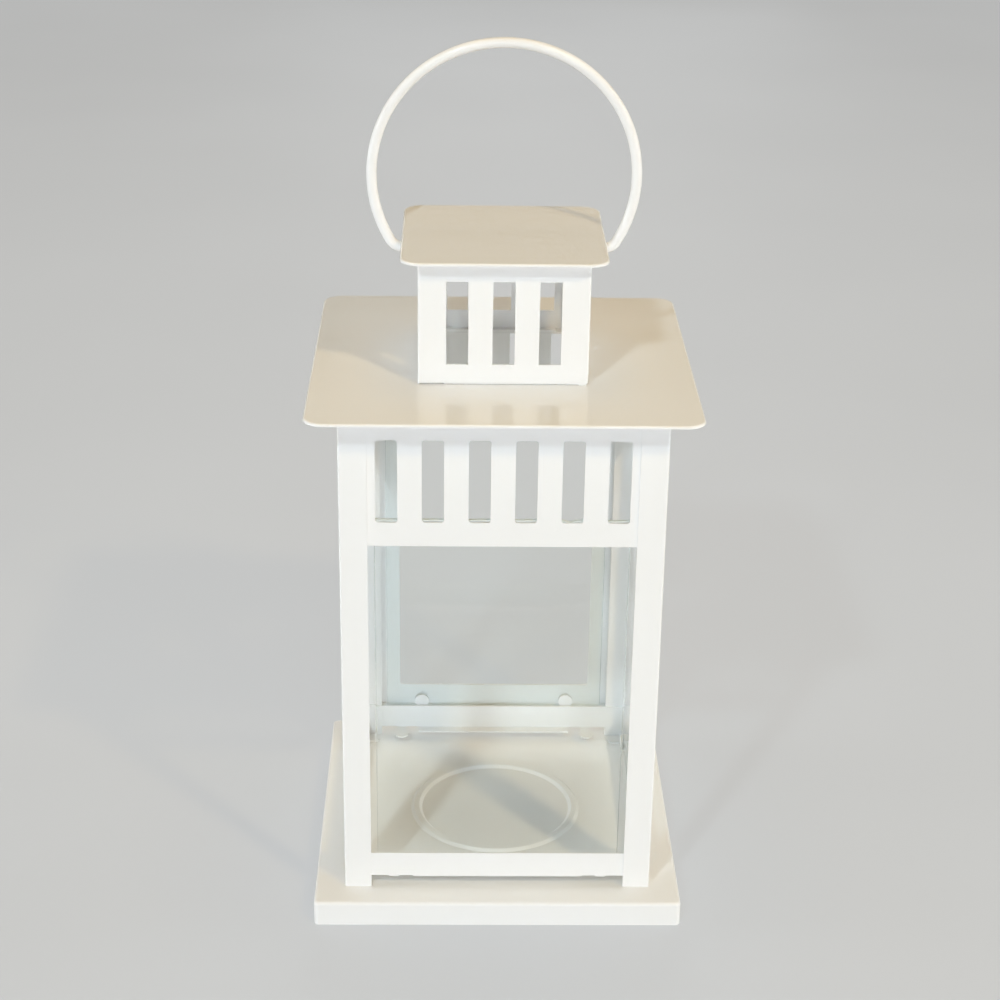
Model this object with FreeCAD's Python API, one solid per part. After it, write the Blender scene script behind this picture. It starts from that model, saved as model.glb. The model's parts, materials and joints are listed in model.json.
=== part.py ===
import FreeCAD, Part
import math
import os

V = FreeCAD.Vector

# A square sheet-metal candle lantern: origin at the middle of the underside, +Z up, door on the +Y side.

# Overall sizes, in millimetres
body_width = 129.6          # across the outer faces of the corner posts
body_height = 216.75        # base top to roof top
base_height = 10.85         # depth of the base tray
base_ledge = 12.65          # base tray beyond the posts
roof_overhang = 12.7        # roof beyond the posts
cupola_width = 68.0         # square chimney on the roof
cupola_height = 52.4        # roof top to cap top
cap_overhang = 7.0          # cap beyond the chimney walls

# Sheet and its folds
sheet = 0.8
bend = 0.95                 # outside radius of a fold
fold_leg = 2.2              # where a folded edge runs into the flat sheet behind it
corner_gap = 0.4            # between the ends of neighbouring folds
cut_past = 1.0              # a cutter beyond the face that it opens

# Pressed plates: base, roof and cap
base_corner = 2.2
base_edge = 1.4
roof_corner = 8.0
cap_corner = 8.0
rim_depth = 1.1             # turned-down rim of roof and cap
ring_radius = 35.5          # pressed ring that centres a block candle
ring_width = 5.0
ring_slope = 1.4            # width of the ring's sloping sides
ring_height = 1.1

# Corner posts
post_flange = 11.3
foot_inset = 2.6            # post corner to the near side of its foot
foot_width = 6.0
foot_reach = 10.5           # post face to the tip of its foot

# Pierced bands under the roof
band_height = 56.3          # roof underside to band bottom
band_flange = 8.0
slot_count = 6
slot_width = 8.7
slot_margin = 3.225         # window edge to the first slot
slot_height = 35.1
slot_drop = 11.0            # roof underside to slot top
slot_corner = 0.7           # corner of a slot, cut across

# Bottom rails with their glass ledges and mushroom tabs
rail_gap = 4.1              # base top to rail bottom
rail_height = 12.0
ledge_width = 4.0
ledge_inset = 17.7          # window edge to the end of the ledge
tab_inset = 9.6             # window edge to the middle of a tab
tab_neck = 4.2
tab_head = 3.3              # radius of a tab's round head
tab_length = 9.6            # a tab left flat
tab_rise = 7.2              # a tab folded up against the glass

# Glass panes
glass_thickness = 2.0
pane_gap = 0.4              # glass to sheet, on each face
pane_side_gap = 2.5         # window edge to glass edge
pane_lap = 10.9             # glass behind the band
clip_width = 6.0
clip_pad = 10.0
clip_finger = 7.0
clip_gap = 0.3              # top of the glass to the clip over it

# Chimney
chimney_slots = 3
chimney_slot_width = 8.75
chimney_slot_margin = 11.2  # chimney corner to the first slot
chimney_slot_low = 8.55     # roof top to slot bottom
chimney_slot_drop = 8.7     # cap underside to slot top
chimney_flange = 3.0
chimney_relief = 10.5       # length of wall cut clear of the roof, at one end of each flange
relief_height = 0.7

# Swinging handle
rod_radius = 2.1
rod_clearance = 0.08
pivot_drop = 5.6            # cap top to pivot
handle_side_gap = 0.2       # cap edge to the start of the rod's bend
handle_bend = 5.0
loop_rise = 29.6            # pivot to the centre of the loop
rivet_radius = 2.9
rivet_length = 1.2
rivet_gap = 0.4

# Door
door_gap = 0.3              # posts to the closed door's flanges
door_overlap = 2.2          # door over the window, all round
door_stile = 10.9
door_rail = 11.3
door_corner = 1.2           # corners of the door's opening
door_tab_inset = 10.5       # opening edge to the middle of a tab
door_tab_notch = 5.5        # half length of the flange left out beside a tab
tab_recess = 0.2            # tab to the door's flange edges
door_pane_gap = 0.6         # top of the door glass to the top flange

# Door hinges
hinge_gap = 0.4             # door edge to knuckles
hinge_height = 24.0
hinge_inset = 16.0          # door's end to the near end of a hinge
knuckle_radius = 2.0
post_knuckle = 6.0
knuckle_gap = 0.3
pin_radius = 1.0
pin_clearance = 0.05
pin_tail = 0.5
pin_head_radius = 1.7
pin_head = 0.7
door_leaf_reach = 8.5       # leaf on the face of the door

# Turning catch that keeps the door shut
catch_width = 6.0
catch_reach = 12.5          # pivot to the fold of the finger tab
catch_grip = 4.0            # finger tab
catch_gap = 0.3             # catch to the face of the door
stud_radius = 2.4
stud_neck = 1.3
stud_clearance = 0.06
stud_play = 0.1             # catch to the stud's shoulder and to its head
stud_head = 1.0
stud_taper = 0.5            # head's radius at its foot less that at its face

# Levels and planes that follow from the sizes above
half = body_width / 2
base_top = base_height
roof_top = base_top + body_height
roof_under = roof_top - sheet
cap_top = roof_top + cupola_height
cap_under = cap_top - sheet
wall_out = half - sheet
wall_in = wall_out - sheet
strip_half = wall_in - corner_gap
window_half = half - post_flange
rail_bottom = base_top + rail_gap
window_low = rail_bottom + rail_height
window_high = roof_under - band_height
slot_pitch = (2 * (window_half - slot_margin) - slot_width) / (slot_count - 1)
chimney_half = cupola_width / 2
chimney_pitch = (2 * (chimney_half - chimney_slot_margin) - chimney_slot_width) / (chimney_slots - 1)
pivot_z = cap_top - pivot_drop
pane_half = window_half - pane_side_gap
pane_top = window_high + pane_lap
tab_reach = 2 * sheet + 2 * pane_gap + glass_thickness
door_half = window_half + door_overlap
door_low = window_low - door_overlap
door_high = window_high + door_overlap
door_back = half + door_gap
door_face = door_back + tab_reach + tab_recess
pin_x = door_half + hinge_gap + knuckle_radius
pin_y = door_face + sheet - knuckle_radius
catch_x = -(half + door_half) / 2
catch_y = door_face + catch_gap
catch_z = (door_low + door_high) / 2


def box(low, high):
    """Block between two opposite corners, given in any order."""
    corner = V(*[min(a, b) for a, b in zip(low, high)])
    sides = [abs(a - b) for a, b in zip(low, high)]
    return Part.makeBox(*sides, corner)


def block(*size):
    """Block centred on the origin."""
    return box([-side / 2 for side in size], [side / 2 for side in size])


def edges_along(solid, axis):
    """Straight edges of a block that run along X (0), Y (1) or Z (2)."""
    return [edge for edge in solid.Edges if abs(edge.tangentAt(0)[axis]) == 1]


def tray(outside, inside, edge):
    """Upside-down tray between two centred blocks of one height, rounded round its top, on the XY plane."""
    top = max(outside.Faces, key=lambda face: face.CenterOfMass.z)
    lowest = outside.BoundBox.ZMin
    return moved(outside.makeFillet(edge, top.Edges).cut(moved(inside, 0, 0, -sheet)), 0, 0, -lowest)


def pressed_tray(width, high, corner, edge):
    """Square tray drawn from one sheet, with round corners."""
    outside = block(width, width, high)
    inside = block(width - 2 * sheet, width - 2 * sheet, high)
    return tray(outside.makeFillet(corner, edges_along(outside, 2)),
                inside.makeFillet(corner - sheet, edges_along(inside, 2)), edge)


def angle_bar(corner, along_u, along_v, leg_u, leg_v, run):
    """Sheet folded once: its outer corner starts at corner, its legs lie along u and v, swept by run."""
    def at(u, v):
        return corner + along_u * u + along_v * v

    bow = bend * (1 - math.sqrt(0.5))
    flats = [at(bend, 0), at(leg_u, 0), at(leg_u, sheet), at(sheet, sheet)]
    flats += [at(sheet, leg_v), at(0, leg_v), at(0, bend)]
    curves = [Part.LineSegment(a, b) for a, b in zip(flats, flats[1:])]
    curves.append(Part.Arc(at(0, bend), at(bow, bow), at(bend, 0)))
    outline = Part.Wire([curve.toShape() for curve in curves])
    return Part.Face(outline).extrude(run)


def turned(shape, degrees, axis=V(0, 0, 1)):
    """Copy of a shape turned about an axis through the origin."""
    copy = shape.copy()
    copy.rotate(V(0, 0, 0), axis, degrees)
    return copy


def moved(shape, x, y, z):
    """Copy of a shape shifted from where it was."""
    copy = shape.copy()
    copy.translate(V(x, y, z))
    return copy


def joined(shapes):
    """One clean solid from touching shapes."""
    return shapes[0].multiFuse(shapes[1:]).removeSplitter()


def base_tray():
    """Base pressed from one sheet, with a raised ring round the candle's place."""
    width = body_width + 2 * base_ledge
    pan = pressed_tray(width, base_height, base_corner, base_edge)
    inner = V(ring_radius - ring_width / 2, 0, base_top)
    outer = V(ring_radius + ring_width / 2, 0, base_top)
    crown = [inner + V(ring_slope, 0, ring_height), outer + V(-ring_slope, 0, ring_height)]
    section = Part.makePolygon([inner] + crown + [outer, inner])
    ring = Part.Face(section).revolve(V(0, 0, 0), V(0, 0, 1), 360)
    return pan.fuse(ring).removeSplitter().cut(moved(ring, 0, 0, -sheet))


def corner_post(side, depth):
    """Folded post at the corner of the given signs, with a foot turned in from its side flange."""
    corner = V(side * half, depth * half, base_top)
    post = angle_bar(corner, V(-side, 0, 0), V(0, -depth, 0), post_flange, post_flange,
                     V(0, 0, roof_under - base_top))
    foot_start = depth * (half - foot_inset)
    foot_end = depth * (half - foot_inset - foot_width)
    post = post.cut(box((side * half, foot_start, base_top), (side * wall_out, foot_end, base_top + bend)))
    foot = angle_bar(V(side * half, foot_start, base_top), V(0, 0, 1), V(-side, 0, 0),
                     fold_leg, foot_reach - foot_width / 2, V(0, foot_end - foot_start, 0))
    toe_x = side * (half - foot_reach + foot_width / 2)
    toe = Part.makeCylinder(foot_width / 2, sheet, V(toe_x, (foot_start + foot_end) / 2, base_top))
    return joined([post, foot, toe])


def pierced_band():
    """Front band: a slotted strip behind the post flanges, with a flange under the roof."""
    flange_half = wall_out - band_flange - corner_gap
    strip = box((-strip_half, -wall_out, window_high), (strip_half, -wall_in, roof_under - bend))
    flange = angle_bar(V(-flange_half, -wall_out, roof_under), V(0, 0, -1), V(0, 1, 0),
                       fold_leg, band_flange, V(2 * flange_half, 0, 0))
    band = joined([strip, flange])
    cutter = block(slot_width, 2 * sheet + 2 * cut_past, slot_height)
    cutter = cutter.makeChamfer(slot_corner, edges_along(cutter, 1))
    middle_z = roof_under - slot_drop - slot_height / 2
    for i in range(slot_count):
        slot_x = (i - (slot_count - 1) / 2) * slot_pitch
        band = band.cut(moved(cutter, slot_x, -wall_out, middle_z))
    return band


def glass_tab(folded):
    """Mushroom tab of a sheet whose outer face is at y = 0 and whose edge is at z = 0."""
    neck_start = V(-tab_neck / 2, 0, 0)
    neck_run = V(tab_neck, 0, 0)
    if not folded:
        head_y = sheet + tab_length - tab_head
        neck = angle_bar(neck_start, V(0, 0, 1), V(0, 1, 0), fold_leg, head_y, neck_run)
        return joined([neck, Part.makeCylinder(tab_head, sheet, V(0, head_y, 0))])
    head_z = tab_rise - tab_head
    root = angle_bar(neck_start, V(0, 0, 1), V(0, 1, 0), fold_leg, tab_reach / 2, neck_run)
    upright = angle_bar(neck_start + V(0, tab_reach, 0), V(0, -1, 0), V(0, 0, 1),
                        tab_reach / 2, head_z, neck_run)
    head = Part.makeCylinder(tab_head, sheet, V(0, tab_reach - sheet, head_z), V(0, 1, 0))
    return joined([root, upright, head])


def bottom_rail(folded):
    """Front rail with the ledge that carries a pane and two tabs that hold it."""
    ledge_half = window_half - ledge_inset
    tab_x = window_half - tab_inset
    strip = box((-strip_half, -wall_out, rail_bottom + bend), (strip_half, -wall_in, window_low))
    ledge = angle_bar(V(-ledge_half, -wall_out, rail_bottom), V(0, 0, 1), V(0, 1, 0),
                      fold_leg, sheet + ledge_width, V(2 * ledge_half, 0, 0))
    tabs = [moved(glass_tab(folded), x, -wall_out, rail_bottom) for x in (-tab_x, tab_x)]
    return joined([strip, ledge] + tabs)


def front_pane():
    """Pane standing on the front ledge."""
    outer_y = -wall_in + pane_gap
    low = (-pane_half, outer_y, rail_bottom + sheet)
    return box(low, (pane_half, outer_y + glass_thickness, pane_top))


def front_clips():
    """Two stepped clips on the back of the front band, over the top of the pane."""
    clip_x = (slot_count / 2 - 1) * slot_pitch
    reach = tab_reach - sheet
    tip = sheet - clip_finger
    over_glass = [(0, clip_pad), (0, 0), (reach - sheet, 0), (reach - sheet, tip)]
    back = [(reach, tip), (reach, sheet), (sheet, sheet), (sheet, clip_pad)]
    outline = [V(-clip_width / 2, y, z) for y, z in over_glass + back]
    clip = Part.Face(Part.makePolygon(outline + outline[:1])).extrude(V(clip_width, 0, 0))
    return Part.makeCompound([moved(clip, x, -wall_in, pane_top + clip_gap) for x in (-clip_x, clip_x)])


def roof_plate():
    """Flat roof with a turned-down rim and a square vent under the chimney."""
    width = body_width + 2 * roof_overhang
    vent_half = chimney_half - sheet - chimney_flange
    plate = moved(pressed_tray(width, rim_depth, roof_corner, bend), 0, 0, roof_top - rim_depth)
    vent = box((-vent_half, -vent_half, roof_under - cut_past), (vent_half, vent_half, roof_top + cut_past))
    return plate.cut(vent)


def cupola():
    """Chimney folded round from one slotted strip, flanged under the cap and on the roof."""
    inner_width = cupola_width - 2 * sheet
    outside = block(cupola_width, cupola_width, cap_under - roof_top)
    outside = outside.makeFillet(bend, edges_along(outside, 2))
    inside = block(inner_width, inner_width, cap_under - roof_top)
    walls = moved(outside.cut(inside), 0, 0, (roof_top + cap_under) / 2)
    wall_start = V(-chimney_half, -chimney_half, 0)
    flange_start = wall_start + V(chimney_relief, 0, 0)
    flange_end = V(chimney_half - sheet - chimney_flange, -chimney_half + sheet, 0)
    flange_run = V(flange_end.x - flange_start.x, 0, 0)
    flanges = []
    for level, into_wall in ((roof_top, V(0, 0, 1)), (cap_under, V(0, 0, -1))):
        edge = V(0, 0, level)
        relief = box(edge + wall_start, edge + V(flange_start.x, flange_end.y, 0) + into_wall * relief_height)
        fold = box(edge + flange_start, edge + flange_end + into_wall * bend)
        flange = angle_bar(edge + flange_start, into_wall, V(0, 1, 0),
                           fold_leg, sheet + chimney_flange, flange_run)
        for quarter in range(4):
            walls = walls.cut(turned(relief, 90 * quarter)).cut(turned(fold, 90 * quarter))
            flanges.append(turned(flange, 90 * quarter))
    walls = joined([walls] + flanges)
    for i in range(chimney_slots):
        middle = (i - (chimney_slots - 1) / 2) * chimney_pitch
        low = (middle - chimney_slot_width / 2, -chimney_half - cut_past, roof_top + chimney_slot_low)
        high = (middle + chimney_slot_width / 2, chimney_half + cut_past, cap_under - chimney_slot_drop)
        slot = box(low, high)
        walls = walls.cut(slot).cut(turned(slot, 90))
    pivot_start = V(-chimney_half - cut_past, 0, pivot_z)
    pivot_length = cupola_width + 2 * cut_past
    return walls.cut(Part.makeCylinder(rod_radius + rod_clearance, pivot_length, pivot_start, V(1, 0, 0)))


def cap_plate():
    """Flat cap over the chimney, with a turned-down rim."""
    width = cupola_width + 2 * cap_overhang
    return moved(pressed_tray(width, rim_depth, cap_corner, bend), 0, 0, cap_top - rim_depth)


def handle():
    """Round rod bent into a loop, riveted over inside the chimney walls."""
    bend_x = chimney_half + cap_overhang + handle_side_gap
    rivet_x = chimney_half - sheet - rivet_gap
    bend_centre = V(bend_x, 0, pivot_z + handle_bend)
    loop_centre = V(0, 0, pivot_z + loop_rise)
    outward = (bend_centre - loop_centre).normalize()
    halfway = (outward + V(0, 0, -1)).normalize()
    loop_radius = handle_bend + (bend_centre - loop_centre).Length

    def opposite(point):
        return V(-point.x, point.y, point.z)

    end = V(rivet_x - rivet_length / 2, 0, pivot_z)
    start = V(bend_x, 0, pivot_z)
    bow = bend_centre + halfway * handle_bend
    meet = bend_centre + outward * handle_bend
    top = loop_centre + V(0, 0, loop_radius)
    path = Part.Wire([
        Part.LineSegment(opposite(end), opposite(start)).toShape(),
        Part.Arc(opposite(start), opposite(bow), opposite(meet)).toShape(),
        Part.Arc(opposite(meet), top, meet).toShape(),
        Part.Arc(meet, bow, start).toShape(),
        Part.LineSegment(start, end).toShape(),
    ])
    section = Part.Wire(Part.Circle(opposite(end), V(1, 0, 0), rod_radius).toShape())
    rod = path.makePipeShell([section], True, False)
    rivets = []
    for side in (-1, 1):
        face = V(side * rivet_x, 0, pivot_z)
        rivets.append(Part.makeCylinder(rivet_radius, rivet_length, face, V(-side, 0, 0)))
    return joined([rod] + rivets)


def door_frame():
    """Door folded as a shallow tray that closes over the rear window, with tabs above and below its pane."""
    width = 2 * door_half
    height = door_high - door_low
    depth = door_face - door_back
    pan = tray(block(width, height, depth), block(width - 2 * sheet, height - 2 * sheet, depth), bend)
    door = moved(turned(pan, -90, V(1, 0, 0)), 0, door_back, (door_low + door_high) / 2)
    open_half = door_half - door_stile
    opening = block(2 * open_half, 2 * sheet + 2 * cut_past, height - 2 * door_rail)
    opening = opening.makeFillet(door_corner, edges_along(opening, 1))
    door = door.cut(moved(opening, 0, door_face, (door_low + door_high) / 2))
    tab_x = open_half - door_tab_inset
    low_tab = turned(glass_tab(True), 180)
    high_tab = turned(glass_tab(True), 180, V(1, 0, 0))
    pieces = []
    for x in (-tab_x, tab_x):
        for edge_z, inward, tab in ((door_low, 1, low_tab), (door_high, -1, high_tab)):
            low = (x - door_tab_notch, door_back, edge_z)
            high = (x + door_tab_notch, door_face, edge_z + inward * bend)
            door = door.cut(box(low, high))
            pieces.append(moved(tab, x, door_face, edge_z))
    return joined([door] + pieces)


def door_pane():
    """Pane standing in the door's bottom flange."""
    outer_y = door_face - sheet - pane_gap
    low = (-pane_half, outer_y - glass_thickness, door_low + sheet)
    return box(low, (pane_half, outer_y, door_high - sheet - door_pane_gap))


def knuckle(low, high):
    """Rolled hinge tube between two heights on the hinge axis."""
    return Part.makeCylinder(knuckle_radius, high - low, V(pin_x, pin_y, low))


def hinge_bore(low, high):
    """Room for the pin through the knuckles."""
    return Part.makeCylinder(pin_radius + pin_clearance, high - low, V(pin_x, pin_y, low))


def post_leaf(low):
    """Hinge leaf on the rear right post, with a knuckle at each end."""
    high = low + hinge_height
    web_x = pin_x + knuckle_radius - sheet
    leaf = angle_bar(V(web_x, half, low), V(1, 0, 0), V(0, 1, 0), half - bend - web_x, pin_y - half,
                     V(0, 0, hinge_height))
    room = box((pin_x - knuckle_radius, half, low + post_knuckle),
               (pin_x + knuckle_radius + hinge_gap, door_face, high - post_knuckle))
    tubes = [knuckle(low, low + post_knuckle), knuckle(high - post_knuckle, high)]
    return joined([leaf.cut(room)] + tubes).cut(hinge_bore(low, high))


def door_leaf(low):
    """Hinge leaf on the face of the door, with its knuckle between the post's two."""
    high = low + hinge_height
    tube_low = low + post_knuckle + knuckle_gap
    tube_high = high - post_knuckle - knuckle_gap
    leaf_end = door_half - hinge_gap
    leaf = box((leaf_end - door_leaf_reach, door_face, low), (leaf_end, door_face + sheet, high))
    arm = box((leaf_end, door_face, tube_low), (pin_x, door_face + sheet, tube_high))
    return joined([leaf, arm, knuckle(tube_low, tube_high)]).cut(hinge_bore(tube_low, tube_high))


def hinge_pin(low):
    """Pin through three knuckles, hung by its head."""
    length = hinge_height + pin_tail
    shank = Part.makeCylinder(pin_radius, length, V(pin_x, pin_y, low - pin_tail))
    head = Part.makeCylinder(pin_head_radius, pin_head, V(pin_x, pin_y, low + hinge_height))
    return joined([shank, head])


def door_catch():
    """Turning catch, hanging open beside the door, with its finger tab folded outwards."""
    tip = V(catch_x - catch_width / 2, catch_y, catch_z - catch_reach)
    lever = angle_bar(tip, V(0, 0, 1), V(0, 1, 0), catch_reach, catch_grip, V(catch_width, 0, 0))
    pivot = V(catch_x, catch_y, catch_z)
    outward = V(0, 1, 0)
    boss = Part.makeCylinder(catch_width / 2, sheet, pivot, outward)
    bore = Part.makeCylinder(stud_neck + stud_clearance, sheet, pivot, outward)
    return joined([lever, boss]).cut(bore)


def catch_stud():
    """Stud on the rear left post that the catch turns on: shoulder, neck and tapered head."""
    outward = V(0, 1, 0)
    seat = V(catch_x, half, catch_z)
    step = V(catch_x, catch_y - stud_play, catch_z)
    top = V(catch_x, catch_y + sheet + stud_play, catch_z)
    shoulder = Part.makeCylinder(stud_radius, step.y - seat.y, seat, outward)
    neck = Part.makeCylinder(stud_neck, top.y - step.y, step, outward)
    head = Part.makeCone(stud_radius, stud_radius - stud_taper, stud_head, top, outward)
    return joined([shoulder, neck, head])


nodes = {
    "base_tray": base_tray(),
    "post_front_left": corner_post(-1, -1),
    "post_front_right": corner_post(1, -1),
    "post_rear_left": corner_post(-1, 1),
    "post_rear_right": corner_post(1, 1),
    "roof_plate": roof_plate(),
    "cupola": cupola(),
    "cap_plate": cap_plate(),
    "handle": handle(),
    "door_frame": door_frame(),
    "door_glass": door_pane(),
    "door_catch": door_catch(),
    "catch_stud": catch_stud(),
}

# The four walls are one wall turned round: only the rear one keeps its tabs flat and has no pane
for wall, degrees in (("front", 0), ("right", 90), ("rear", 180), ("left", 270)):
    glazed = wall != "rear"
    nodes[wall + "_band"] = turned(pierced_band(), degrees)
    nodes[wall + "_rail"] = turned(bottom_rail(glazed), degrees)
    if glazed:
        nodes[wall + "_glass"] = turned(front_pane(), degrees)
        nodes[wall + "_glass_clips"] = turned(front_clips(), degrees)

upper_hinge = door_high - hinge_inset - hinge_height
for place, hinge_low in (("lower", door_low + hinge_inset), ("upper", upper_hinge)):
    nodes["post_leaf_" + place] = post_leaf(hinge_low)
    nodes["door_leaf_" + place] = door_leaf(hinge_low)
    nodes["hinge_pin_" + place] = hinge_pin(hinge_low)

os.makedirs("parts", exist_ok=True)
for name, shape in nodes.items():
    shape.exportStep(os.path.join("parts", name + ".step"))
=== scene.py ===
import json
import math

import bmesh
import bpy
from mathutils import Euler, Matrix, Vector


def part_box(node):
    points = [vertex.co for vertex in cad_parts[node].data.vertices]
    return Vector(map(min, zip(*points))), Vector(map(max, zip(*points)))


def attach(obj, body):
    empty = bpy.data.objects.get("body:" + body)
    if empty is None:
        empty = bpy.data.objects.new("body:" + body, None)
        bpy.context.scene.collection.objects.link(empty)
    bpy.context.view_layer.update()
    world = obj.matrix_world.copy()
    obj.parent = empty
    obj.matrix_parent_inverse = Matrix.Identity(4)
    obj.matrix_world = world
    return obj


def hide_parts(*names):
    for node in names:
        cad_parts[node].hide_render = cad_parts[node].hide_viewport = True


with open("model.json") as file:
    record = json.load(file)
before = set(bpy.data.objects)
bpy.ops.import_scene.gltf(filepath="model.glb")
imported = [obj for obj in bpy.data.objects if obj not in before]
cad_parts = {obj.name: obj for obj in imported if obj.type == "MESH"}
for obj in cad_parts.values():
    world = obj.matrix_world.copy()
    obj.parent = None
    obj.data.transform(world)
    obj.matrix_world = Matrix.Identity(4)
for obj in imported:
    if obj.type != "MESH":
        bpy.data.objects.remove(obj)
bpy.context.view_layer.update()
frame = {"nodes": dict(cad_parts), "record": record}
nodes = frame["nodes"]

# Lengths are in metres, and waves are counted per metre.

# The camera's place and turn, fitted to the straight edges of the lantern
camera_place = (-0.01802, -0.83147, 0.53007)
camera_turn = (66.149, -0.778, -0.911)
camera_lens = 76.894

# White paint, glossy on the roof and the cap and satin on the rest
paint_colour = (0.87, 0.87, 0.867)
paint_tones = (0.985, 1.01)
tone_waves = 8
sheet_waves = 16
sheet_relief = 0.00015
peel_waves = 750
peel_relief = 0.000004
gloss_waves = 40
gloss_change = 0.05
satin_roughness = 0.31
satin_coat = 0.2
satin_bend = 1.5
gloss_roughness = 0.04
gloss_coat = 0.0
gloss_bend = 1.65
coat_roughness = 0.05

# Float glass, clear on its faces and ground on its edges
glass_tint = (0.975, 0.99, 0.988)
glass_bend = 1.52
glass_pass = 0.99
smear_waves = 14
smear_stretch = (1, 1, 0.35)
smear_roughness = (0.0, 0.004)
ground_dark = (0.74, 0.82, 0.79)
ground_pale = (0.90, 0.93, 0.92)
ground_waves = 1500
ground_relief = 0.00003
ground_clearness = 0.2
ground_roughness = (0.45, 0.75)

# Drawn steel
steel_dark = (0.42, 0.42, 0.43)
steel_pale = (0.62, 0.61, 0.6)
steel_waves = 2500
steel_stretch = (0.2, 0.2, 1)
steel_relief = 0.00001
steel_roughness = (0.3, 0.45)

# The floor and the room
floor_size = 12
floor_colour = (0.62, 0.64, 0.66)
floor_tones = (0.985, 1.015)
floor_waves = 3
floor_roughness = 0.6
floor_glow = 0.65
backdrop_colour = (0.463, 0.474, 0.479)
room_colour = (1.0, 0.82, 0.50)
room_light = 0.16

# The lamps all look at one point
lamp_aim = (0, 0, 0.16)
key_size = 0.12
top_size = 1.6
fill_size = 0.66
fill_spread = math.radians(50)

# The panes: the arris along their edges, and the top edge as it was snapped.
# Each wave of the snapped edge has its turn per metre, its start and its share.
arris = 0.00025
snap_step = 0.0012
snap_depth = 0.0003
snap_waves = ((310, 0.6, 1.0), (830, 2.1, 0.6), (1900, 0.0, 0.4))
chip_place = 0.0268
chip_half = 0.0018
chip_depth = 0.0008


class Shader:
    """A material's node tree, with short calls for the nodes that the finishes share."""

    # The range in which most of a noise texture's values lie
    noise_low = 0.3
    noise_high = 0.7

    def __init__(self, name):
        self.material = bpy.data.materials.new(name)
        self.material.use_nodes = True
        self.tree = self.material.node_tree
        self.surface = self.tree.nodes["Principled BSDF"]
        self.output = self.tree.nodes["Material Output"]
        self.place = self.node("ShaderNodeTexCoord").outputs["Object"]

    def node(self, kind, **inputs):
        """A new node, with the named inputs set to values or linked to sockets."""
        made = self.tree.nodes.new(kind)
        for name, value in inputs.items():
            self.put(made.inputs[name.replace("_", " ")], value)
        return made

    def put(self, socket, value):
        """Links a socket to an input, or sets the input to a value."""
        if isinstance(value, bpy.types.NodeSocket):
            self.tree.links.new(value, socket)
        else:
            socket.default_value = value

    def noise(self, waves, detail=2.0, stretch=(1, 1, 1)):
        """Noise from 0 to 1."""
        spread = self.node("ShaderNodeMapping", Vector=self.place, Scale=stretch)
        texture = self.node("ShaderNodeTexNoise", Vector=spread.outputs["Vector"], Scale=waves, Detail=detail)
        return texture.outputs["Fac"]

    def between(self, factor, low, high):
        """A number that goes from low to high as noise goes through its range."""
        ranged = self.node("ShaderNodeMapRange", Value=factor)
        ranged.inputs["From Min"].default_value = self.noise_low
        ranged.inputs["From Max"].default_value = self.noise_high
        ranged.inputs["To Min"].default_value = low
        ranged.inputs["To Max"].default_value = high
        return ranged.outputs["Result"]

    def blend(self, factor, first, second):
        """A colour between two colours."""
        mix = self.node("ShaderNodeMix")
        mix.data_type = "RGBA"
        self.put(mix.inputs["Factor"], factor)
        for socket, colour in ((mix.inputs[6], first), (mix.inputs[7], second)):
            self.put(socket, (*colour, 1))
        return mix.outputs[2]

    def bump(self, height, depth, normal=None):
        """Surface relief of the given depth, on top of another relief if one is given."""
        made = self.node("ShaderNodeBump", Height=height, Distance=depth, Strength=1.0)
        if normal is not None:
            self.put(made.inputs["Normal"], normal)
        return made.outputs["Normal"]


def shade(colour, factor):
    """A colour made lighter or darker."""
    return tuple(channel * factor for channel in colour)


def paint(name, colour, roughness, coat, bend):
    """Sprayed paint: a fine orange peel on sheet that isn't quite flat, with a trace of tone."""
    look = Shader(name)
    surface = look.surface.inputs
    relief = look.bump(look.noise(sheet_waves, 1.0), sheet_relief)
    relief = look.bump(look.noise(peel_waves, 1.0), peel_relief, relief)
    look.put(surface["Normal"], relief)
    tone = look.between(look.noise(tone_waves), 0.0, 1.0)
    darker, lighter = (shade(colour, factor) for factor in paint_tones)
    look.put(surface["Base Color"], look.blend(tone, darker, lighter))
    gloss = look.noise(gloss_waves)
    smooth, rough = roughness * (1 - gloss_change), roughness * (1 + gloss_change)
    look.put(surface["Roughness"], look.between(gloss, smooth, rough))
    surface["IOR"].default_value = bend
    surface["Coat Weight"].default_value = coat
    surface["Coat Roughness"].default_value = coat_roughness
    return look.material


def lit_through(look, tint):
    """Lets light from lamps and from other surfaces pass straight through a glass surface."""
    ray = look.node("ShaderNodeLightPath")
    clear = look.node("ShaderNodeBsdfTransparent", Color=(*tint, 1))
    seen = look.surface.outputs["BSDF"]
    for kind in ("Is Shadow Ray", "Is Diffuse Ray"):
        both = look.node("ShaderNodeMixShader")
        look.put(both.inputs[0], ray.outputs[kind])
        look.put(both.inputs[1], seen)
        look.put(both.inputs[2], clear.outputs["BSDF"])
        seen = both.outputs["Shader"]
    look.put(look.output.inputs["Surface"], seen)


def window_glass(name):
    """Clear float glass with faint smears."""
    look = Shader(name)
    surface = look.surface.inputs
    surface["Base Color"].default_value = (*glass_tint, 1)
    surface["Transmission Weight"].default_value = 1.0
    surface["IOR"].default_value = glass_bend
    smear = look.noise(smear_waves, stretch=smear_stretch)
    look.put(surface["Roughness"], look.between(smear, *smear_roughness))
    lit_through(look, shade(glass_tint, glass_pass))
    return look.material


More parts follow.
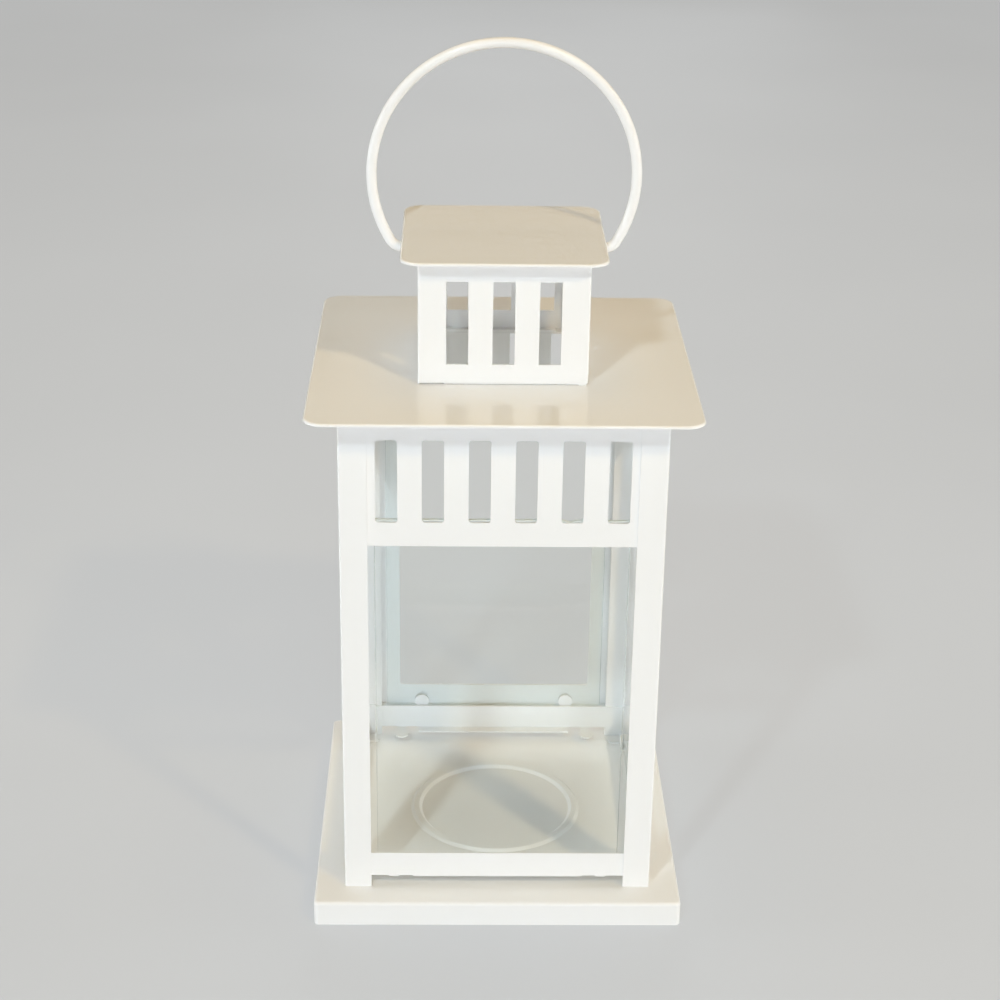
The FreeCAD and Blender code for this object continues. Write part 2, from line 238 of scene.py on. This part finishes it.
def ground_glass(name):
    """The cut edges of a pane: frosted, pale green, with the chatter of the stone."""
    look = Shader(name)
    surface = look.surface.inputs
    grain = look.noise(ground_waves, 3.0)
    look.put(surface["Base Color"], look.blend(grain, ground_dark, ground_pale))
    surface["Transmission Weight"].default_value = ground_clearness
    surface["IOR"].default_value = glass_bend
    look.put(surface["Roughness"], look.between(grain, *ground_roughness))
    look.put(surface["Normal"], look.bump(grain, ground_relief))
    lit_through(look, ground_pale)
    return look.material


def pin_steel(name):
    """Drawn steel wire, with fine lines round the pin."""
    look = Shader(name)
    surface = look.surface.inputs
    lines = look.noise(steel_waves, stretch=steel_stretch)
    look.put(surface["Base Color"], look.blend(lines, steel_dark, steel_pale))
    surface["Metallic"].default_value = 1.0
    look.put(surface["Roughness"], look.between(lines, *steel_roughness))
    look.put(surface["Normal"], look.bump(lines, steel_relief))
    return look.material


def floor_finish(name):
    """Pale matt floor with a trace of tone, that stays pale to the eye where the lamps fall off."""
    look = Shader(name)
    tone = look.between(look.noise(floor_waves), 0.0, 1.0)
    darker, lighter = (shade(floor_colour, factor) for factor in floor_tones)
    colour = look.blend(tone, darker, lighter)
    look.put(look.surface.inputs["Base Color"], colour)
    look.surface.inputs["Roughness"].default_value = floor_roughness
    ray = look.node("ShaderNodeLightPath")
    seen = ray.outputs["Is Camera Ray"]
    for kind in ("Is Glossy Ray", "Is Transmission Ray"):
        either = look.node("ShaderNodeMath")
        either.operation = "MAXIMUM"
        look.put(either.inputs[0], seen)
        look.put(either.inputs[1], ray.outputs[kind])
        seen = either.outputs["Value"]
    share = look.node("ShaderNodeMath")
    share.operation = "MULTIPLY"
    look.put(share.inputs[0], seen)
    look.put(share.inputs[1], floor_glow)
    glow = look.node("ShaderNodeEmission", Color=colour, Strength=1.0)
    both = look.node("ShaderNodeMixShader")
    look.put(both.inputs[0], share.outputs["Value"])
    look.put(both.inputs[1], look.surface.outputs["BSDF"])
    look.put(both.inputs[2], glow.outputs["Emission"])
    look.put(look.output.inputs["Surface"], both.outputs["Shader"])
    return look.material


finishes = {
    "white_paint": paint("white_paint", paint_colour, satin_roughness, satin_coat, satin_bend),
    "gloss_white_paint": paint("gloss_white_paint", paint_colour, gloss_roughness, gloss_coat, gloss_bend),
    "clear_glass": window_glass("clear_glass"),
    "steel_pin": pin_steel("steel_pin"),
}
edge_finish = ground_glass("ground_glass")
for part in frame["record"]["subparts"]:
    mesh = nodes[part["node"]].data
    mesh.materials.clear()
    mesh.materials.append(finishes[part["material_slot"]])


def snapped(place):
    """How far the snapped top edge of a pane lies below its highest point."""
    wave = sum(share * math.sin(turn * place + start) for turn, start, share in snap_waves)
    return snap_depth * (1 + wave / 2) / 2


def chipped(place):
    """The depth of the chip in the front pane's top edge."""
    return chip_depth * max(0.0, 1 - ((place - chip_place) / chip_half) ** 2)


def pane(node, body, dips):
    """A pane in a node's place, with ground edges and a top edge that dips as the given calls say."""
    low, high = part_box(node)
    along = 0 if high.x - low.x > high.y - low.y else 1
    across = 1 - along
    shape = bmesh.new()

    def ring(place, inset):
        """The eight corners of the glass at one place along its width."""
        near, far = low[across] + inset, high[across] - inset
        foot = low.z + inset
        head = high.z - inset - sum(dip(place) for dip in dips)
        section = [
            (near, foot + arris), (near + arris, foot), (far - arris, foot), (far, foot + arris),
            (far, head - arris), (far - arris, head), (near + arris, head), (near, head - arris),
        ]
        corners = []
        for deep, tall in section:
            point = Vector((0, 0, tall))
            point[along] = place
            point[across] = deep
            corners.append(shape.verts.new(point))
        return corners

    start, end = low[along] + arris, high[along] - arris
    steps = round((end - start) / snap_step)
    rings = [ring(low[along], arris)]
    rings += [ring(start + (end - start) * step / steps, 0) for step in range(steps + 1)]
    rings += [ring(high[along], arris)]
    broad = (3, 7)
    for first, second in zip(rings, rings[1:]):
        for side in range(8):
            after = (side + 1) % 8
            face = shape.faces.new((first[side], first[after], second[after], second[side]))
            face.material_index = 0 if side in broad else 1
    for cap in (rings[0], rings[-1]):
        shape.faces.new(cap).material_index = 1
    bmesh.ops.recalc_face_normals(shape, faces=shape.faces)

    mesh = bpy.data.meshes.new(node + "_pane")
    shape.to_mesh(mesh)
    shape.free()
    mesh.materials.append(finishes["clear_glass"])
    mesh.materials.append(edge_finish)
    piece = bpy.data.objects.new(node + "_pane", mesh)
    bpy.context.scene.collection.objects.link(piece)
    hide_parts(node)
    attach(piece, body)


pane("front_glass", "lantern_body", (snapped, chipped))
pane("right_glass", "lantern_body", (snapped,))
pane("left_glass", "lantern_body", (snapped,))
pane("door_glass", "door", ())


def lamp(name, place, size, power, colour):
    """A soft square lamp that looks at the lantern and isn't seen itself."""
    light = bpy.data.lights.new(name, "AREA")
    light.size = size
    light.energy = power
    light.color = colour
    holder = bpy.data.objects.new(name, light)
    holder.location = place
    holder.rotation_euler = (Vector(lamp_aim) - Vector(place)).to_track_quat("-Z", "Y").to_euler()
    holder.visible_camera = False
    holder.visible_transmission = False
    bpy.context.scene.collection.objects.link(holder)
    return holder


def fill(name, place, power, colour):
    """A lamp near the floor that lights one side, with a beam too narrow to light the floor before it."""
    holder = lamp(name, place, fill_size, power, colour)
    holder.data.spread = fill_spread
    holder.visible_glossy = False


def studio():
    """Floor, lamps, surroundings and the camera."""
    scene = bpy.context.scene
    bpy.ops.mesh.primitive_plane_add(size=floor_size)
    floor = bpy.context.object
    floor.name = "floor"
    floor.data.materials.append(floor_finish("floor_finish"))

    lamp("left_lamp", (-0.69, -1.51, 1.60), key_size, 12.5, (0.78, 0.91, 0.97))
    lamp("right_lamp", (0.97, -1.25, 1.69), key_size, 12.5, (1.0, 0.76, 0.42))
    lamp("top_lamp", (0.0, 0.4, 2.6), top_size, 11.5, (1.0, 0.60, 0.10))
    fill("front_fill", (0.1, -2.15, 0.40), 2.0, (0.80, 0.88, 1.0))
    fill("rear_fill", (0.1, 2.15, 0.40), 2.6, (0.93, 0.97, 1.0))
    fill("left_fill", (-2.15, 0.1, 0.40), 1.9, (0.94, 0.97, 1.0))
    fill("right_fill", (2.15, 0.1, 0.40), 1.8, (0.86, 0.95, 1.0))

    world = bpy.data.worlds.new("surroundings")
    world.use_nodes = True
    tree = world.node_tree
    around = tree.nodes["Background"]
    around.inputs["Color"].default_value = (*room_colour, 1)
    around.inputs["Strength"].default_value = room_light
    backdrop = tree.nodes.new("ShaderNodeBackground")
    backdrop.inputs["Color"].default_value = (*backdrop_colour, 1)
    ray = tree.nodes.new("ShaderNodeLightPath")
    seen = around.outputs["Background"]
    for kind in ("Is Camera Ray", "Is Glossy Ray", "Is Transmission Ray"):
        both = tree.nodes.new("ShaderNodeMixShader")
        tree.links.new(ray.outputs[kind], both.inputs[0])
        tree.links.new(seen, both.inputs[1])
        tree.links.new(backdrop.outputs["Background"], both.inputs[2])
        seen = both.outputs["Shader"]
    tree.links.new(seen, tree.nodes["World Output"].inputs["Surface"])
    scene.world = world

    camera = bpy.data.cameras.new("camera")
    camera.lens = camera_lens
    holder = bpy.data.objects.new("camera", camera)
    holder.location = camera_place
    holder.rotation_euler = Euler([math.radians(angle) for angle in camera_turn])
    scene.collection.objects.link(holder)
    scene.camera = holder
    scene.view_settings.view_transform = "Standard"


studio()
